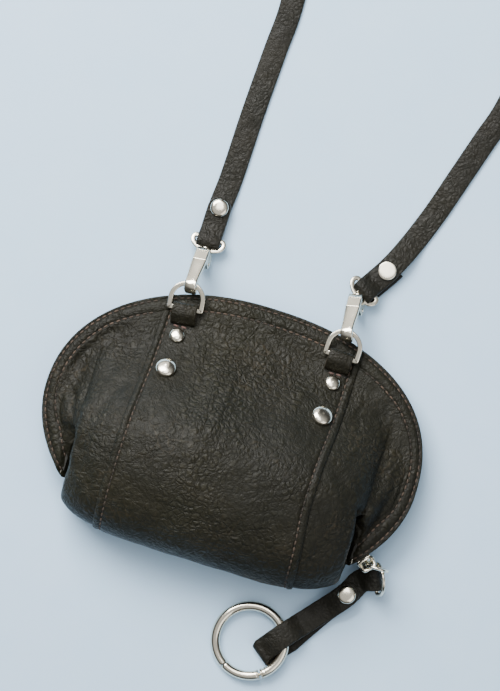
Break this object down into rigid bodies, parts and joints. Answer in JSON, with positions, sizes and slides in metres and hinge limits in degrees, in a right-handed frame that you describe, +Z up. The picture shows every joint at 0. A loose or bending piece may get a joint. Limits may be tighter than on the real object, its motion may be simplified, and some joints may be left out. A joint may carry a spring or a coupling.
{
  "type": "pouch bag",
  "caption": "Soft leather clutch pouch with a curved zip, boxed pleated base, long carry strap on two trigger clasps and a short zip leash with a spring-gate ring.",
  "frame": {"origin": "on the surface that the bag lies on, under the middle of the pouch between its two rounded ends", "axes": "+X along the zip towards the slider's end, +Y from the pouch towards the strap's loop, +Z up out of the surface"},
  "size_m": [0.1898, 0.6215, 0.0419],
  "materials": {
    "leather": "soft pebbled dark olive leather with a satin sheen",
    "tab_leather": "smooth dark olive leather",
    "strap_leather": "smooth satin dark grey leather with painted edges",
    "tape": "woven black-olive zip tape",
    "teeth": "small dark nickel zip teeth",
    "nickel": "polished pale nickel"
  },
  "bodies": {
    "bag": {"centre_panel": "leather", "side_panel_left": "leather", "side_panel_right": "leather", "tab_left": "tab_leather", "tab_right": "tab_leather", "strap": "strap_leather", "leash_strap": "strap_leather", "zip_tape_front": "tape", "zip_tape_back": "tape", "zip_chain": "teeth", "zip_slider": "nickel", "puller_ring": "nickel", "d_ring_left": "nickel", "d_ring_right": "nickel", "stud_small_left": "nickel", "stud_small_right": "nickel", "stud_large_left": "nickel", "stud_large_right": "nickel", "clasp_body_left": "nickel", "clasp_body_right": "nickel", "clasp_eye_left": "nickel", "clasp_eye_right": "nickel", "strap_rivet_left": "nickel", "strap_rivet_right": "nickel", "leash_rivet": "nickel", "leash_d_ring": "nickel", "key_ring": "nickel"},
    "lever_left": {"clasp_lever_left": "nickel"},
    "lever_right": {"clasp_lever_right": "nickel"},
    "gate": {"key_ring_gate": "nickel"}
  },
  "joints": [
    {"name": "lever_left_press", "type": "hinge", "parent": "bag", "child": "lever_left", "pos_m": [-0.03487, 0.07026, 0.00662], "axis": [-0.97, -0.0995, -0.2219], "range_deg": [0, 18], "stiffness_Nm_per_rad": 0.02},
    {"name": "lever_right_press", "type": "hinge", "parent": "bag", "child": "lever_right", "pos_m": [0.03618, 0.07034, 0.00683], "axis": [-0.9471, -0.2004, -0.2506], "range_deg": [0, 18], "stiffness_Nm_per_rad": 0.02},
    {"name": "gate_swing", "type": "hinge", "parent": "bag", "child": "gate", "pos_m": [0.04461, -0.09468, 0.00332], "axis": [0.0602, 0.031, -0.9977], "range_deg": [0, 18], "stiffness_Nm_per_rad": 0.02}
  ]
}
